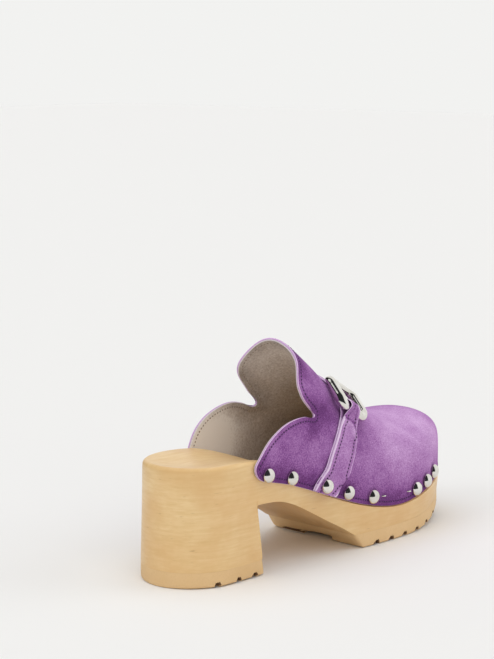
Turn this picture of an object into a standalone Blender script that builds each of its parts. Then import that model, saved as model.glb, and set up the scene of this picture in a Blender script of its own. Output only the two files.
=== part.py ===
"""Clog mule for the right foot: wooden sole with a block heel, suede upper with a three-lobed
collar, instep strap with a buckle, and domed studs along the lasting edge.

Metres, +Z up, toe towards +X, inner side of the foot towards +Y, standing on Z = 0."""

import math
from collections import namedtuple

import bmesh
import bpy
from mathutils import Matrix, Vector

MM = 0.001
GAP = 0.3 * MM
SHARP_ANGLE = math.radians(35)

# Plan outline of the sole
LENGTH = 264.5 * MM
HEEL_ROUND = 30 * MM
HEEL_POWER = 2.0
TOE_ROUND = 76 * MM
TOE_POWER = 2.2

# Wooden sole
RUBBER = 9.5 * MM
BREAST_FOOT = 56.5 * MM
BREAST_TOP = 51.5 * MM
HEEL_LEAN = 0.85
HEEL_COLUMNS = 10
WAIST_COLUMNS = 9
FRONT_COLUMNS = 16
FOOTBED_STRIPS = 8
TREAD_START = 136 * MM
SPRING_START = 190 * MM
TOE_SPRING = 15 * MM
RIM_ROUND = 3 * MM
RIM_TURNS = (0, 30, 60, 90)
LEDGE_SLOPE = 0.5 * MM
REBATE = 3.0 * MM
REBATE_START = 100 * MM
REBATE_END = 150 * MM

# Rubber under the heel and the forefoot
GROOVE_WIDTH = 3.4 * MM
GROOVE_DEPTH = 2.5 * MM
GROOVE_TOP = 2 * MM
GROOVE_CLEAR = 1 * MM
LIFT_FRONT = 58 * MM
HEEL_GROOVES = (20 * MM, 36 * MM, 50 * MM)
TREAD_COLUMNS = 12
TREAD_REAR = 144 * MM
TREAD_GROOVE_FIRST = 157 * MM
TREAD_GROOVE_PITCH = 14.2 * MM
TREAD_GROOVES = 7
TREAD_SKEW = 6 * MM
TREAD_SKEW_REACH = 50 * MM
CHANNEL_SHARE = 0.15
CHANNEL_SIDE = 0.008
CHANNEL_DEPTH = 2 * MM
CHANNEL_START_FADE = 150 * MM
CHANNEL_END = 156 * MM

# Upper
WALL = 2.2 * MM
LASTING = 12.5 * MM
RIDGE_SHIFT = 1 * MM
FAN_START = 185 * MM
TOE_BULGE = 2 * MM
BULGE_FULL = 199 * MM
BULGE_TOP = 0.8
RIDGE_END = 224 * MM
UPPER_REAR_COLUMNS = 8
RIDGE_LIMIT = 0.995

# Studs
STUD_RADIUS = 4.9 * MM
STUD_HEIGHT = 3.4 * MM
STUD_SEGMENTS = 12
STUD_RINGS = 8

# Instep straps: the outer one lies double, folded round the buckle's bar, the inner one is single
STRAP_LAYER = 1.3 * MM
STRAP_MEDIAL = 1.3 * MM
STRAP_GAP = 0.6 * MM
STRAP_HALF_FOOT = 10 * MM
STRAP_HALF_HEAD = 7.3 * MM
STRAP_NARROWS = (0.16, 0.46)
STRAP_STRIPS = 4
STRAP_SPLIT = 0.39
LOOP_HALF = 4.8 * MM
LOOP_SHIFT = -4.2 * MM
LOOP_GAP = 0.9 * MM
LOOP_TURNS = (-100, -62, -26, 10, 46, 82, 118, 140)

# Heights up the section where the straps have a line of points: up a side, over the instep, down to the end
STRAP_RISE = (-1.0, -0.6, -0.2, 0.03, 0.1, 0.18, 0.28, STRAP_SPLIT)
STRAP_CROSS = (0.46, 0.53, 0.61, 0.7, 0.79, 0.87, 0.94, RIDGE_LIMIT)
STRAP_END = (0.94, 0.87, 0.79, 0.7)

# Buckle frame
BUCKLE_ALONG = 141.4 * MM
BUCKLE_HEIGHT = 0.595
BUCKLE_LIFT = 4 * MM
BUCKLE_TURN = math.radians(5)
BUCKLE_TILT = math.radians(-6)
BUCKLE_LENGTH = 33.5 * MM
BUCKLE_WIDTH = 28.5 * MM
BUCKLE_CORNER = 5 * MM
BAR_WIDTH = 6.4 * MM
BAR_THICK = 4.9 * MM
BAR_DEEPER = 0.7 * MM
BAR_SHALLOWER = 0.6 * MM
BAR_HIGHER = 1.4 * MM
BAR_POWER = 2.7
BAR_FLANK = 1.7
BAR_SIDES = 12
CORNER_STEPS = 5

# Cross sections along the foot, in millimetres apart from the power of the upper's arch
Section = namedtuple("Section", "along centre half rim flare ridge power")
SECTIONS = (
    Section(0, 0.0, 29.5, 70.5, 1.3, 152, 1.9),
    Section(30, 0.0, 29.7, 70.5, 1.3, 152, 1.9),
    Section(58, -0.6, 30.6, 68.5, 0.8, 150, 1.9),
    Section(80, -1.2, 31.0, 63.0, 0.0, 145, 1.9),
    Section(100, -1.6, 32.4, 56.0, -0.6, 136.5, 1.95),
    Section(120, -1.8, 35.4, 48.5, -1.0, 121.5, 1.98),
    Section(140, -1.5, 39.2, 41.5, -1.2, 105, 1.88),
    Section(160, -0.8, 41.8, 36.5, -1.2, 91, 2.0),
    Section(180, 0.0, 43.4, 34.3, -1.2, 79.5, 2.25),
    Section(200, 1.0, 43.9, 36.2, -1.2, 72.5, 2.4),
    Section(220, 2.4, 43.4, 39.4, -1.2, 72.0, 2.5),
    Section(264, 6.0, 41.5, 48.0, -1.2, 71, 2.5),
)

# Underside of the wood between the heel breast and the forefoot, in millimetres
Arch = namedtuple("Arch", "along under")
ARCH = (
    Arch(51.5, 43.2),
    Arch(68, 42.5),
    Arch(81, 39.2),
    Arch(98, 30.9),
    Arch(115, 21.5),
    Arch(128, 14.8),
    Arch(136, 10.8),
)

# Depth of the footbed's dish, in millimetres
Dish = namedtuple("Dish", "along depth")
DISH = (Dish(0, 3.0), Dish(60, 3.0), Dish(110, 1.5), Dish(264, 1.5))

# Rear edge of the upper on each side: height up the section (lasting edge -1, rim 0, ridge 1),
# place along the foot in millimetres
Collar = namedtuple("Collar", "height along")
OUTER_COLLAR = (
    Collar(-1.0, 56.0),
    Collar(-0.84, 51.5),
    Collar(-0.5, 48.5),
    Collar(-0.2, 49.0),
    Collar(0.01, 52.0),
    Collar(0.06, 56.5),
    Collar(0.105, 61.5),
    Collar(0.16, 70.0),
    Collar(0.205, 78.0),
    Collar(0.245, 88.0),
    Collar(0.275, 98.0),
    Collar(0.296, 107.5),
    Collar(0.318, 102.0),
    Collar(0.356, 96.5),
    Collar(0.43, 94.8),
    Collar(0.52, 98.0),
    Collar(0.68, 104.7),
    Collar(0.85, 106.0),
    Collar(1.0, 104.5),
)
INNER_COLLAR = (
    Collar(-1.0, 65.5),
    Collar(-0.84, 62.0),
    Collar(-0.5, 60.0),
    Collar(-0.2, 60.5),
    Collar(0.01, 62.0),
    Collar(0.075, 65.3),
    Collar(0.136, 70.1),
    Collar(0.198, 78.3),
    Collar(0.248, 87.8),
    Collar(0.29, 98.8),
    Collar(0.32, 112.0),
    Collar(0.352, 121.0),
    Collar(0.381, 117.5),
    Collar(0.411, 108.0),
    Collar(0.441, 100.0),
    Collar(0.482, 96.4),
    Collar(0.537, 96.0),
    Collar(0.63, 98.8),
    Collar(0.765, 101.7),
    Collar(1.0, 104.5),
)

# Heights of the upper's rows of points, closest together round the notches of the collar
UPPER_ROWS = (
    -1.0, -0.84, -0.5, -0.2, 0.01, 0.06, 0.105, 0.16, 0.205, 0.245, 0.275, 0.296,
    0.318, 0.352, 0.381, 0.411, 0.441, 0.482, 0.537, 0.63, 0.74, 0.86, 1.0,
)

# Studs of each side, heel to toe: place along the foot and height over the lasting edge, in millimetres
Stud = namedtuple("Stud", "along rise")
STUDS = (
    Stud(59, 4.3),
    Stud(80, 4.6),
    Stud(106.5, 5.3),
    Stud(129, 5.4),
    Stud(151.5, 6.0),
    Stud(196.2, 5.8),
    Stud(210.8, 6.1),
    Stud(224.3, 7.0),
)
STRAP_STUD = 2

# Middle line of the strap: height up the section and place along the foot
Run = namedtuple("Run", "height along")
STRAP_RUN = (
    Run(-1.0, 106.0),
    Run(-0.2, 112.5),
    Run(0.06, 118.5),
    Run(0.14, 122.7),
    Run(0.24, 127.8),
    Run(0.31, 131.0),
    Run(0.39, 134.5),
    Run(0.61, 141.5),
    Run(0.8, 145.0),
    Run(1.0, 146.0),
)

LATERAL = -1
MEDIAL = 1


def read(rows, column, key, where):
    """Value of one column on a smooth curve through a table's rows, without overshoot."""
    keys = [getattr(row, key) for row in rows]
    values = [getattr(row, column) for row in rows]
    where = min(max(where, keys[0]), keys[-1])
    left = max(i for i in range(len(keys) - 1) if keys[i] <= where)
    steps = [(values[i + 1] - values[i]) / (keys[i + 1] - keys[i]) for i in range(len(keys) - 1)]

    def slope(i):
        if i == 0 or i == len(steps):
            return steps[min(i, len(steps) - 1)]
        if steps[i - 1] * steps[i] <= 0:
            return 0.0
        return 2 * steps[i - 1] * steps[i] / (steps[i - 1] + steps[i])

    span = keys[left + 1] - keys[left]
    t = (where - keys[left]) / span
    start = values[left] * (1 + 2 * t) * (1 - t) ** 2 + slope(left) * span * t * (1 - t) ** 2
    end = values[left + 1] * t * t * (3 - 2 * t) + slope(left + 1) * span * t * t * (t - 1)
    return start + end


def section(column, along):
    """A length from the section table, in metres."""
    return read(SECTIONS, column, "along", along / MM) * MM


def fade(value, start, end):
    """Smooth step from 0 at start to 1 at end."""
    t = min(max((value - start) / (end - start), 0.0), 1.0)
    return t * t * (3 - 2 * t)


def rebate(along):
    """Depth of the step in the wood's side that the lasting edge sits in."""
    return REBATE * fade(along, REBATE_START, REBATE_END)


def end_share(along):
    """Share of the section's width that the round of the heel or of the toe leaves."""
    if along < HEEL_ROUND:
        return max(1 - (1 - along / HEEL_ROUND) ** HEEL_POWER, 0.0) ** (1 / HEEL_POWER)
    if along > LENGTH - TOE_ROUND:
        reach = min((along - LENGTH + TOE_ROUND) / TOE_ROUND, 1.0)
        return max(1 - reach ** TOE_POWER, 0.0) ** (1 / TOE_POWER)
    return 1.0


def outline(along, side, grow=0.0):
    """Plan point on one side of the sole, moved out square to the outline by grow."""
    step = 0.02 * MM
    before = max(along - step, 0.0)
    after = min(along + step, LENGTH)

    def plain(place):
        width = side * section("half", place) * end_share(place)
        return Vector((place, section("centre", place) + width))

    if along <= 0.0:
        return plain(0.0) + Vector((-grow, 0.0))
    if along >= LENGTH:
        return plain(LENGTH) + Vector((grow, 0.0))
    run = (plain(after) - plain(before)).normalized()
    return plain(along) + Vector((-run.y, run.x)) * side * grow


def stations(start, end, count):
    """Places along the foot from start to end, closer together in the heel's and the toe's round."""
    places = []
    heel_turn = math.pi / 2 if start <= 0.0 else 0.0
    toe_turn = math.pi / 2 if end >= LENGTH else 0.0
    for i in range(count + 1):
        t = i / count
        angle = -heel_turn + (heel_turn + toe_turn) * t
        low = -math.sin(heel_turn)
        high = math.sin(toe_turn)
        if high == low:
            share = t
        else:
            share = (math.sin(angle) - low) / (high - low)
        places.append(start + (end - start) * share)
    return places


def ground(along):
    """Height of the tread's underside over the floor, which rises at the toe."""
    reach = max(along - SPRING_START, 0.0) / (LENGTH - SPRING_START)
    return TOE_SPRING * reach ** 2


def wood_under(along):
    """Height of the wood's underside, from the heel breast to the toe."""
    if along < TREAD_START:
        return read(ARCH, "under", "along", along / MM) * MM
    return RUBBER + ground(along)


def make_object(name, bm, material):
    """Object of one sub-part, with its faces pointing out and its round faces shaded smooth."""
    bmesh.ops.recalc_face_normals(bm, faces=bm.faces)
    mesh = bpy.data.meshes.new(name)
    bm.to_mesh(mesh)
    bm.free()
    mesh.shade_smooth()
    mesh.set_sharp_from_angle(angle=SHARP_ANGLE)
    mesh.materials.append(material)
    piece = bpy.data.objects.new(name, mesh)
    bpy.context.collection.objects.link(piece)
    piece.parent = shoe
    return piece


def make_material(name, colour, roughness, metallic=0.0):
    """Plain material with one colour."""
    material = bpy.data.materials.new(name)
    material.use_nodes = True
    shader = material.node_tree.nodes["Principled BSDF"]
    shader.inputs["Base Color"].default_value = (*colour, 1.0)
    shader.inputs["Roughness"].default_value = roughness
    shader.inputs["Metallic"].default_value = metallic
    return material


def skin(bm, rows):
    """Quads between neighbouring rows of vertices, or triangles where two corners are one."""
    for lower, upper in zip(rows, rows[1:]):
        for i in range(len(lower) - 1):
            corners = dict.fromkeys((lower[i], lower[i + 1], upper[i + 1], upper[i]))
            if len(corners) > 2:
                bm.faces.new(list(corners))


def sole_level(bm, places, heights, grows, skew=0.0):
    """Vertices of one level round the sole, heel to toe: the outer side, then the inner side.

    Skew is the share of the tread's slant that moves the inner side's places forward."""
    sides = []
    for side in (LATERAL, MEDIAL):
        line = []
        for i, along in enumerate(places):
            if side == MEDIAL and (along <= 0.0 or along >= LENGTH):
                line.append(sides[0][i])
                continue
            if side == MEDIAL:
                along += inner_shift(along) * skew
            spot = outline(along, side, grows[i])
            line.append(bm.verts.new((spot.x, spot.y, heights[i])))
        sides.append(line)
    return sides


def cross_lines(bm, level, shares, drop):
    """Lines of vertices from the outer to the inner side of a level, lowered in the middle by drop."""
    lines = []
    for i, (outer, inner) in enumerate(zip(*level)):
        line = [outer]
        for share in shares:
            if outer is inner:
                line.append(outer)
                continue
            spot = outer.co.lerp(inner.co, share)
            spot.z -= drop(i, share)
            line.append(bm.verts.new(spot))
        line.append(inner)
        lines.append(line)
    return lines


def close_end(bm, bottom, top):
    """Face across an end of a slab, between its bottom and top lines."""
    bm.faces.new(bottom + top[::-1])


def join_levels(bm, levels):
    """Side walls through all the levels of a slab."""
    for side in range(2):
        skin(bm, [level[side] for level in levels])


def inner_shift(along):
    """How much further forward the inner side's features lie, around the rear of the tread."""
    return TREAD_SKEW * max(1 - ((along - TREAD_REAR) / TREAD_SKEW_REACH) ** 2, 0.0) ** 2


def footbed_dish(along):
    """Depth of the footbed's middle below its rim."""
    return read(DISH, "depth", "along", along / MM) * MM * end_share(along) ** 2


def make_wood_sole(material):
    """One block of wood: heel, arch, forefoot, ledge for the lasting edge and dished footbed."""
    heel = stations(0.0, BREAST_FOOT, HEEL_COLUMNS)
    waist = stations(BREAST_TOP, TREAD_START, WAIST_COLUMNS)
    front = stations(TREAD_START, LENGTH, FRONT_COLUMNS)[1:]
    feet = heel + waist + front
    tops = [along * HEEL_LEAN for along in heel] + waist + front
    under = [RUBBER] * len(heel) + [wood_under(along) for along in waist + front]
    ledges = [section("rim", along) - LASTING - GAP for along in tops]
    bm = bmesh.new()
    levels = []
    for share in (0.0, 0.5, 1.0):
        places = [foot + (top - foot) * share for foot, top in zip(feet, tops)]
        heights = [low + (ledge - LEDGE_SLOPE - low) * share for low, ledge in zip(under, ledges)]
        grows = [section("flare", along) * (1 - share) for along in places]
        levels.append(sole_level(bm, places, heights, grows, 1 - share))
    levels.append(sole_level(bm, tops, ledges, [-rebate(along) for along in tops]))
    for turn in RIM_TURNS:
        inset = RIM_ROUND * (1 - math.cos(math.radians(turn)))
        drop = RIM_ROUND * (1 - math.sin(math.radians(turn)))
        heights = [section("rim", along) - drop for along in tops]
        levels.append(sole_level(bm, tops, heights, [-rebate(along) - inset for along in tops]))
    join_levels(bm, levels)
    skin(bm, cross_lines(bm, levels[0], (), None))
    shares = [k / FOOTBED_STRIPS for k in range(1, FOOTBED_STRIPS)]

    def dish(i, share):
        return footbed_dish(tops[i]) * (1 - (2 * share - 1) ** 2) ** 2

    skin(bm, cross_lines(bm, levels[-1], shares, dish))
    return make_object("wood_sole", bm, material)


def groove_profile(places, grooves):
    """Places along a slab with each groove's corners put in, and the groove's depth at each place."""
    clear = GROOVE_WIDTH / 2 + GROOVE_CLEAR
    profile = [(along, 0.0) for along in places if all(abs(along - g) > clear for g in grooves)]
    for groove in grooves:
        for reach, depth in ((GROOVE_WIDTH, 0.0), (GROOVE_TOP, GROOVE_DEPTH)):
            profile.append((groove - reach / 2, depth))
            profile.append((groove + reach / 2, depth))
    profile.sort()
    return [along for along, _ in profile], [depth for _, depth in profile]


def make_heel_lift(material):
    """Rubber top piece under the heel, with grooves across it."""
    feet, grooves = groove_profile(stations(0.0, LIFT_FRONT, HEEL_COLUMNS), HEEL_GROOVES)
    tops = [along * BREAST_FOOT / LIFT_FRONT for along in feet]
    grows = [section("flare", along) for along in feet]
    bm = bmesh.new()
    bottom = sole_level(bm, feet, grooves, grows)
    top = sole_level(bm, tops, [RUBBER - GAP] * len(tops), grows)
    join_levels(bm, [bottom, top])
    bottom_lines = cross_lines(bm, bottom, (), None)
    top_lines = cross_lines(bm, top, (), None)
    skin(bm, bottom_lines)
    skin(bm, top_lines)
    close_end(bm, bottom_lines[-1], top_lines[-1])
    return make_object("heel_lift", bm, material)


def make_forefoot_tread(material):
    """Rubber sheet under the forefoot: slanted rear edge, grooves, centre channel and toe spring."""
    cuts = [TREAD_GROOVE_FIRST + TREAD_GROOVE_PITCH * i for i in range(TREAD_GROOVES)]
    feet, grooves = groove_profile(stations(TREAD_REAR, LENGTH, TREAD_COLUMNS), cuts)
    slant = TREAD_REAR - TREAD_START
    tops = [along - slant * (1 - fade(along, TREAD_REAR, CHANNEL_END)) for along in feet]
    grows = [section("flare", along) for along in feet]
    bm = bmesh.new()
    lows = [ground(along) + groove for along, groove in zip(feet, grooves)]
    bottom = sole_level(bm, feet, lows, grows, 1.0)
    top = sole_level(bm, tops, [wood_under(along) - GAP for along in tops], grows, 1.0)
    join_levels(bm, [bottom, top])

    def channel(i, share):
        inside = abs(share - 0.5) < CHANNEL_SHARE
        spare = max(CHANNEL_DEPTH - grooves[i], 0.0)
        return -spare * (1 - fade(feet[i], CHANNEL_START_FADE, CHANNEL_END)) if inside else 0.0

    edge = CHANNEL_SHARE + CHANNEL_SIDE
    shares = (0.5 - edge, 0.5 - CHANNEL_SHARE + CHANNEL_SIDE, 0.5 + CHANNEL_SHARE - CHANNEL_SIDE, 0.5 + edge)
    bottom_lines = cross_lines(bm, bottom, shares, channel)
    top_lines = cross_lines(bm, top, (), None)
    skin(bm, bottom_lines)
    skin(bm, top_lines)
    close_end(bm, bottom_lines[0], top_lines[0])
    return make_object("forefoot_tread", bm, material)


def upper_grow(along):
    """Distance of the upper's outer face from the sole's outline."""
    return WALL + GAP - rebate(along)


def ridge_along(along):
    """Place on the ridge that a column rises to: the toe's columns gather towards its end."""
    if along <= FAN_START:
        return along
    reach = (along - FAN_START) / (LENGTH - FAN_START)
    power = (LENGTH - FAN_START) / (RIDGE_END - FAN_START)
    return FAN_START + (RIDGE_END - FAN_START) * (1 - (1 - reach) ** power)


def upper_point(along, side, height):
    """Point on the upper's outer face: height is -1 at the lasting edge, 0 at the rim, 1 on the ridge."""
    bulge = TOE_BULGE * fade(along, REBATE_END, BULGE_FULL)
    bulge *= math.sin(math.pi * min(max(height / BULGE_TOP, 0.0), 1.0)) ** 2
    base = outline(along, side, upper_grow(along) + bulge)
    rim = section("rim", along)
    if height <= 0.0:
        return Vector((base.x, base.y, rim + height * LASTING))
    power = 2 / read(SECTIONS, "power", "along", along / MM)
    turn = height * math.pi / 2
    inward = 1 - max(math.cos(turn), 0.0) ** power
    rise = math.sin(turn) ** power
    top = ridge_along(along)
    crest = Vector((top, section("centre", top) + RIDGE_SHIFT))
    spot = base.lerp(crest, inward)
    return Vector((spot.x, spot.y, rim + (section("ridge", top) - rim) * rise))


def upper_frame(along, side, height):
    """Point on the upper's outer face, with its outward normal and its forward direction."""
    step = 0.2 * MM
    rise = 0.002
    spot = upper_point(along, side, height)
    forward = (upper_point(along + step, side, height) - upper_point(along - step, side, height))
    upward = upper_point(along, side, height + rise) - upper_point(along, side, height - rise)
    normal = forward.cross(upward).normalized() * -side
    return spot, normal, forward.normalized()


def make_upper(material):
    """Suede wall lasted over the sole's edge, open at the three-lobed collar and underneath."""
    bm = bmesh.new()
    rows = []
    for height in UPPER_ROWS:
        row = []
        for side, collar in ((LATERAL, OUTER_COLLAR), (MEDIAL, INNER_COLLAR)):
            rear = read(collar, "along", "height", height) * MM
            places = stations(rear, TREAD_START, UPPER_REAR_COLUMNS)[:-1]
            places += stations(TREAD_START, LENGTH, FRONT_COLUMNS)
            if side == LATERAL:
                row = [bm.verts.new(upper_point(along, side, height)) for along in places]
            elif height == 1.0:
                row += row[-2::-1]
            else:
                row += [bm.verts.new(upper_point(along, side, height)) for along in places[-2::-1]]
        rows.append(row)
    skin(bm, rows)
    upper = make_object("upper", bm, material)
    wall = upper.modifiers.new("wall", "SOLIDIFY")
    wall.thickness = WALL
    wall.offset = -1.0
    wall.use_even_offset = True
    return upper


def make_stud(name, along, side, rise, lift, material):
    """Domed nail head on the lasting edge."""
    spot, normal, _ = upper_frame(along, side, rise / LASTING - 1)
    bm = bmesh.new()
    bmesh.ops.create_uvsphere(bm, u_segments=STUD_SEGMENTS, v_segments=STUD_RINGS, radius=STUD_RADIUS)
    below = [vert for vert in bm.verts if vert.co.z < -STUD_RADIUS * 0.01]
    bmesh.ops.delete(bm, geom=below, context="VERTS")
    rim = [edge for edge in bm.edges if edge.is_boundary]
    bmesh.ops.edgeloop_fill(bm, edges=rim)
    bmesh.ops.scale(bm, vec=(1.0, 1.0, STUD_HEIGHT / STUD_RADIUS), verts=bm.verts)
    turn = normal.to_track_quat("Z", "Y").to_matrix().to_4x4()
    place = Matrix.Translation(spot + normal * lift)
    bmesh.ops.transform(bm, matrix=place @ turn, verts=bm.verts)
    return make_object(name, bm, material)


def buckle_frame():
    """Centre of the buckle and its forward, inward and outward directions."""
    spot, normal, forward = upper_frame(BUCKLE_ALONG, LATERAL, BUCKLE_HEIGHT)
    centre = spot + normal * BUCKLE_LIFT
    turn = Matrix.Rotation(BUCKLE_TILT, 3, forward)
    turn = Matrix.Rotation(BUCKLE_TURN, 3, turn @ normal) @ turn
    return centre, turn @ forward, turn @ normal.cross(forward), turn @ normal


def squared(value, power):
    """A sine or cosine drawn outwards by a power, so that the bar's oval turns towards a rectangle."""
    return math.copysign(abs(value) ** (2 / power), value)


def make_buckle(material):
    """Thick frame: a bar with a sloping outer flank swept round a rectangle, highest at front and rear."""
    centre, forward, inward, normal = buckle_frame()
    reach = BUCKLE_LENGTH / 2 - BAR_WIDTH / 2 - BUCKLE_CORNER
    width = BUCKLE_WIDTH / 2 - BAR_WIDTH / 2 - BUCKLE_CORNER
    bm = bmesh.new()
    rows = []
    for quarter, (x, y) in enumerate(((reach, width), (-reach, width), (-reach, -width), (reach, -width))):
        for step in range(CORNER_STEPS + 1):
            turn = math.radians(90) * (quarter + step / CORNER_STEPS)
            out = forward * math.cos(turn) + inward * math.sin(turn)
            middle = centre + forward * x + inward * y + out * BUCKLE_CORNER
            deeper = BAR_DEEPER if y < 0 else -BAR_SHALLOWER
            higher = BAR_HIGHER * math.cos(turn) ** 2
            row = []
            for k in range(BAR_SIDES):
                angle = 2 * math.pi * (k + 0.5) / BAR_SIDES
                power = BAR_FLANK if 0 < angle < math.radians(90) else BAR_POWER
                half = BAR_THICK / 2 + (deeper if math.sin(angle) < 0 else higher)
                rise = squared(math.sin(angle), power) * half
                across = squared(math.cos(angle), power) * BAR_WIDTH / 2
                row.append(bm.verts.new(middle + out * across + normal * rise))
            rows.append(row + row[:1])
    skin(bm, rows + rows[:1])
    return make_object("buckle_frame", bm, material)


def strap_half(height):
    """Half the strap's width, narrower towards the buckle."""
    return STRAP_HALF_FOOT + (STRAP_HALF_HEAD - STRAP_HALF_FOOT) * fade(height, *STRAP_NARROWS)


def strap_line(side, height, offset, facing):
    """Points across the strap at one height, offset from the upper, with the way their face looks."""
    middle = read(STRAP_RUN, "along", "height", height) * MM
    step = 0.5 * MM
    run = (upper_point(middle + step, side, height) - upper_point(middle - step, side, height)).length
    half = strap_half(height) * 2 * step / run
    line = []
    for k in range(STRAP_STRIPS + 1):
        along = middle + half * (2 * k / STRAP_STRIPS - 1)
        spot, normal, _ = upper_frame(along, side, min(height, RIDGE_LIMIT))
        line.append((spot + normal * offset, normal * facing))
    return line


def loop_line(bar, forward, inward, normal, turn):
    """Points across the strap where it goes round the buckle's bar, at one turn of its way."""
    across = math.cos(turn) * (BAR_WIDTH / 2 + LOOP_GAP + STRAP_LAYER / 2)
    rise = math.sin(turn) * (BAR_THICK / 2 + LOOP_GAP + STRAP_LAYER / 2)
    if rise < 0:
        rise += math.sin(turn) * BAR_DEEPER
    out = (inward * across + normal * rise).normalized()
    line = []
    for k in range(STRAP_STRIPS + 1):
        shift = LOOP_HALF * (2 * k / STRAP_STRIPS - 1) + LOOP_SHIFT
        line.append((bar + forward * shift + inward * across + normal * rise, out))
    return line


def make_band(name, lines, thickness, material):
    """Flat band with square edges along lines of points, thickened both ways from them."""
    bm = bmesh.new()
    rows = []
    for line in lines:
        face = [bm.verts.new(spot + out * thickness / 2) for spot, out in line]
        back = [bm.verts.new(spot - out * thickness / 2) for spot, out in line]
        row = face + back[::-1]
        rows.append(row + row[:1])
    skin(bm, rows)
    bm.faces.new(rows[0][:-1])
    bm.faces.new(rows[-1][:-1])
    return make_object(name, bm, material)


def make_strap_lateral(material):
    """Strap that rises from the lasting edge, goes under and round the outer bar, and comes back on top."""
    centre, forward, inward, normal = buckle_frame()
    bar = centre - inward * (BUCKLE_WIDTH - BAR_WIDTH) / 2
    low = STRAP_GAP + STRAP_LAYER / 2
    high = low + STRAP_LAYER + GAP
    lines = [strap_line(LATERAL, height, low, -1) for height in STRAP_RISE]
    lines += [loop_line(bar, forward, inward, normal, math.radians(turn)) for turn in LOOP_TURNS]
    lines += [strap_line(LATERAL, height, high, 1) for height in STRAP_RISE[::-1]]
    return make_band("strap_lateral", lines, STRAP_LAYER, material)


def make_strap_medial(material):
    """Strap from the inner lasting edge over the instep, with its end under the buckle frame."""
    middle = STRAP_GAP + STRAP_MEDIAL / 2
    lines = [strap_line(MEDIAL, height, middle, 1) for height in STRAP_RISE + STRAP_CROSS]
    lines += [strap_line(LATERAL, height, middle, 1) for height in STRAP_END]
    return make_band("strap_medial", lines, STRAP_MEDIAL, material)


for leftover in list(bpy.data.objects):
    bpy.data.objects.remove(leftover)

shoe = bpy.data.objects.new("shoe", None)
bpy.context.collection.objects.link(shoe)

wood = make_material("wood", (0.62, 0.42, 0.24), 0.45)
rubber = make_material("rubber", (0.52, 0.42, 0.30), 0.7)
suede = make_material("suede", (0.23, 0.09, 0.30), 0.9)
nickel = make_material("nickel", (0.75, 0.74, 0.71), 0.15, 1.0)

make_wood_sole(wood)
make_heel_lift(rubber)
make_forefoot_tread(rubber)
make_upper(suede)
make_buckle(nickel)
make_strap_lateral(suede)
make_strap_medial(suede)
for label, side in (("lateral", LATERAL), ("medial", MEDIAL)):
    for number, stud in enumerate(STUDS):
        lift = GAP
        if number == STRAP_STUD and side == LATERAL:
            lift += 2 * (STRAP_LAYER + STRAP_GAP)
        if number == STRAP_STUD and side == MEDIAL:
            lift += STRAP_MEDIAL + STRAP_GAP
        make_stud(f"stud_{label}_{number + 1}", stud.along * MM, side, stud.rise * MM, lift, nickel)

bpy.context.view_layer.update()
corners = [piece.matrix_world @ Vector(corner) for piece in shoe.children for corner in piece.bound_box]
lowest = Vector([min(corner[axis] for corner in corners) for axis in range(3)])
highest = Vector([max(corner[axis] for corner in corners) for axis in range(3)])
middle = (lowest + highest) / 2
shoe.location = (-middle.x, -middle.y, -lowest.z)
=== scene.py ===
"""Looks of the suede clog mule: finishes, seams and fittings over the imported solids."""

import math

import bmesh
import bpy
from mathutils import Matrix, Vector
from mathutils.bvhtree import BVHTree
from mathutils.kdtree import KDTree


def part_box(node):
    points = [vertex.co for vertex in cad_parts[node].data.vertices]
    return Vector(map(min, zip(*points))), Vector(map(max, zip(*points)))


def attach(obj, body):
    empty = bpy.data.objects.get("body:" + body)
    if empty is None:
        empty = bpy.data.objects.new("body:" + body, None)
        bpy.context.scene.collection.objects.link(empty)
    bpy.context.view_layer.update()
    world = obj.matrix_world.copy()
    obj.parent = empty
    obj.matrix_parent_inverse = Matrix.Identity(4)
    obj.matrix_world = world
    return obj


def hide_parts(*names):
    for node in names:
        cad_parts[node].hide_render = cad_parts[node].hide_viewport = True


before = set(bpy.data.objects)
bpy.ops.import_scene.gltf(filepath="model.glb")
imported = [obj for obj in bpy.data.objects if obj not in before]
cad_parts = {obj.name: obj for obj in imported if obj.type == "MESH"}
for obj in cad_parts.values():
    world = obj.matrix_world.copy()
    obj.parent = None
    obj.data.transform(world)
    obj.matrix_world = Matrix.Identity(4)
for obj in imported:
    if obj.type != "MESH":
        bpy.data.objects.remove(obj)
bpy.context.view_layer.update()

# Wooden sole: footbed, arch and block heel milled from one piece of pale close-grained wood.
# Its edges are sanded round, and the whole is finished with a satin lacquer except under the arch, where
# painted shade darkens the downward faces.
MM = 0.001
WELD = 0.002 * MM
JOIN_BEND = math.radians(50)
JOIN_SKEW = math.radians(75)
SHARP = math.radians(34)
WOOD_EDGE = 2.1 * MM
SEAM_REACH = 0.8 * MM
SEAM_ANGLE = math.radians(8)


def merged_copy(node):
    """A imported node's solid as one closed mesh, its triangles joined into quads."""
    bm = bmesh.new()
    bm.from_mesh(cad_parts[node].data)
    bm.edges.layers.float.new("crease_edge")
    bmesh.ops.remove_doubles(bm, verts=bm.verts, dist=WELD)
    bmesh.ops.join_triangles(
        bm,
        faces=bm.faces,
        angle_face_threshold=JOIN_BEND,
        angle_shape_threshold=JOIN_SKEW,
    )
    return bm


def node_tree(node):
    """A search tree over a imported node's faces."""
    bm = merged_copy(node)
    tree = BVHTree.FromBMesh(bm)
    bm.free()
    return tree


def sharp_edges(bm, angle=SHARP):
    """Edges between faces that meet at a clear angle."""
    return [edge for edge in bm.edges if edge.calc_face_angle(0) > angle]


def round_edges(bm, edges, width, steps):
    """Round these edges over to the given width."""
    bmesh.ops.bevel(
        bm,
        geom=edges,
        offset=width,
        offset_type="OFFSET",
        affect="EDGES",
        segments=steps,
        profile=0.5,
        material=-1,
        clamp_overlap=True,
    )


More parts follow.
